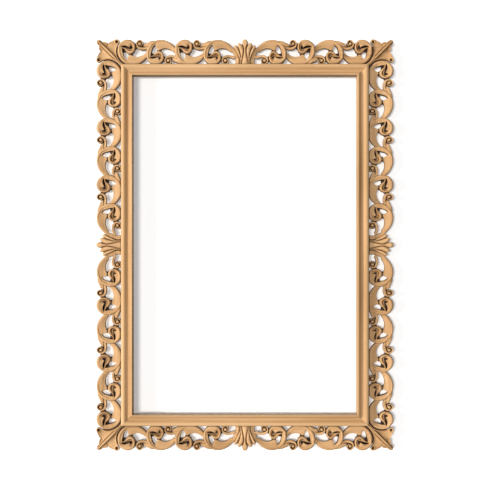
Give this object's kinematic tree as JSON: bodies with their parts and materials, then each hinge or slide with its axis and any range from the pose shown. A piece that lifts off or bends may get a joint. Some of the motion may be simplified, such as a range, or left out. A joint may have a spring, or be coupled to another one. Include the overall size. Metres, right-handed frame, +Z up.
{
  "type": "mirror frame",
  "caption": "Rectangular carved wooden mirror frame: a mitred moulding with an openwork border of C-scrolls, corner leaves and palmettes, and turn buttons and D-rings behind.",
  "frame": {"origin": "centre of the frame on the wall plane, which the backs of the felt bumpers touch", "axes": "+X to the viewer's right, +Y into the wall (the carved front faces -Y), +Z up along the longer sides"},
  "size_m": [0.794, 0.042, 1.098],
  "materials": {
    "wood": "satin, pale oiled hardwood",
    "steel": "zinc plated",
    "brass": "brushed",
    "felt": "dense wool felt"
  },
  "bodies": {
    "frame": {"bottom_left_corner_leaf": "wood", "bottom_left_felt_bumper": "felt", "bottom_left_mitre_spline": "wood", "bottom_palmette": "wood", "bottom_pivot_screw_left": "steel", "bottom_pivot_screw_right": "steel", "bottom_rail": "wood", "bottom_right_corner_leaf": "wood", "bottom_right_felt_bumper": "felt", "bottom_right_mitre_spline": "wood", "bottom_scrolls_left": "wood", "bottom_scrolls_right": "wood", "left_hanger_screw_lower": "steel", "left_hanger_screw_upper": "steel", "left_hanger_strap": "steel", "left_palmette": "wood", "left_pivot_screw_lower": "steel", "left_pivot_screw_upper": "steel", "left_scrolls_lower": "wood", "left_scrolls_upper": "wood", "left_stile": "wood", "right_hanger_screw_lower": "steel", "right_hanger_screw_upper": "steel", "right_hanger_strap": "steel", "right_palmette": "wood", "right_pivot_screw_lower": "steel", "right_pivot_screw_upper": "steel", "right_scrolls_lower": "wood", "right_scrolls_upper": "wood", "right_stile": "wood", "top_left_corner_leaf": "wood", "top_left_felt_bumper": "felt", "top_left_mitre_spline": "wood", "top_palmette": "wood", "top_pivot_screw_left": "steel", "top_pivot_screw_right": "steel", "top_rail": "wood", "top_right_corner_leaf": "wood", "top_right_felt_bumper": "felt", "top_right_mitre_spline": "wood", "top_scrolls_left": "wood", "top_scrolls_right": "wood"},
    "top_turn_button_left": {"top_turn_button_left": "brass"},
    "top_turn_button_right": {"top_turn_button_right": "brass"},
    "bottom_turn_button_left": {"bottom_turn_button_left": "brass"},
    "bottom_turn_button_right": {"bottom_turn_button_right": "brass"},
    "left_turn_button_upper": {"left_turn_button_upper": "brass"},
    "left_turn_button_lower": {"left_turn_button_lower": "brass"},
    "right_turn_button_upper": {"right_turn_button_upper": "brass"},
    "right_turn_button_lower": {"right_turn_button_lower": "brass"},
    "left_d_ring": {"left_d_ring": "steel"},
    "right_d_ring": {"right_d_ring": "steel"}
  },
  "joints": [
    {"name": "top_turn_button_left_turn", "type": "hinge", "parent": "frame", "child": "top_turn_button_left", "pos_m": [-0.147, -0.00495, 0.467], "axis": [0, 1, 0], "continuous": true},
    {"name": "top_turn_button_right_turn", "type": "hinge", "parent": "frame", "child": "top_turn_button_right", "pos_m": [0.147, -0.00495, 0.467], "axis": [0, 1, 0], "continuous": true},
    {"name": "bottom_turn_button_left_turn", "type": "hinge", "parent": "frame", "child": "bottom_turn_button_left", "pos_m": [-0.147, -0.00495, -0.467], "axis": [0, 1, 0], "continuous": true},
    {"name": "bottom_turn_button_right_turn", "type": "hinge", "parent": "frame", "child": "bottom_turn_button_right", "pos_m": [0.147, -0.00495, -0.467], "axis": [0, 1, 0], "continuous": true},
    {"name": "left_turn_button_upper_turn", "type": "hinge", "parent": "frame", "child": "left_turn_button_upper", "pos_m": [-0.315, -0.00495, 0.219], "axis": [0, 1, 0], "continuous": true},
    {"name": "left_turn_button_lower_turn", "type": "hinge", "parent": "frame", "child": "left_turn_button_lower", "pos_m": [-0.315, -0.00495, -0.219], "axis": [0, 1, 0], "continuous": true},
    {"name": "right_turn_button_upper_turn", "type": "hinge", "parent": "frame", "child": "right_turn_button_upper", "pos_m": [0.315, -0.00495, 0.219], "axis": [0, 1, 0], "continuous": true},
    {"name": "right_turn_button_lower_turn", "type": "hinge", "parent": "frame", "child": "right_turn_button_lower", "pos_m": [0.315, -0.00495, -0.219], "axis": [0, 1, 0], "continuous": true},
    {"name": "left_d_ring_swing", "type": "hinge", "parent": "frame", "child": "left_d_ring", "pos_m": [-0.3185, -0.0029, 0.349], "axis": [1, 0, 0], "range_deg": [0, 180]},
    {"name": "right_d_ring_swing", "type": "hinge", "parent": "frame", "child": "right_d_ring", "pos_m": [0.3185, -0.0029, 0.349], "axis": [1, 0, 0], "range_deg": [0, 180]}
  ]
}
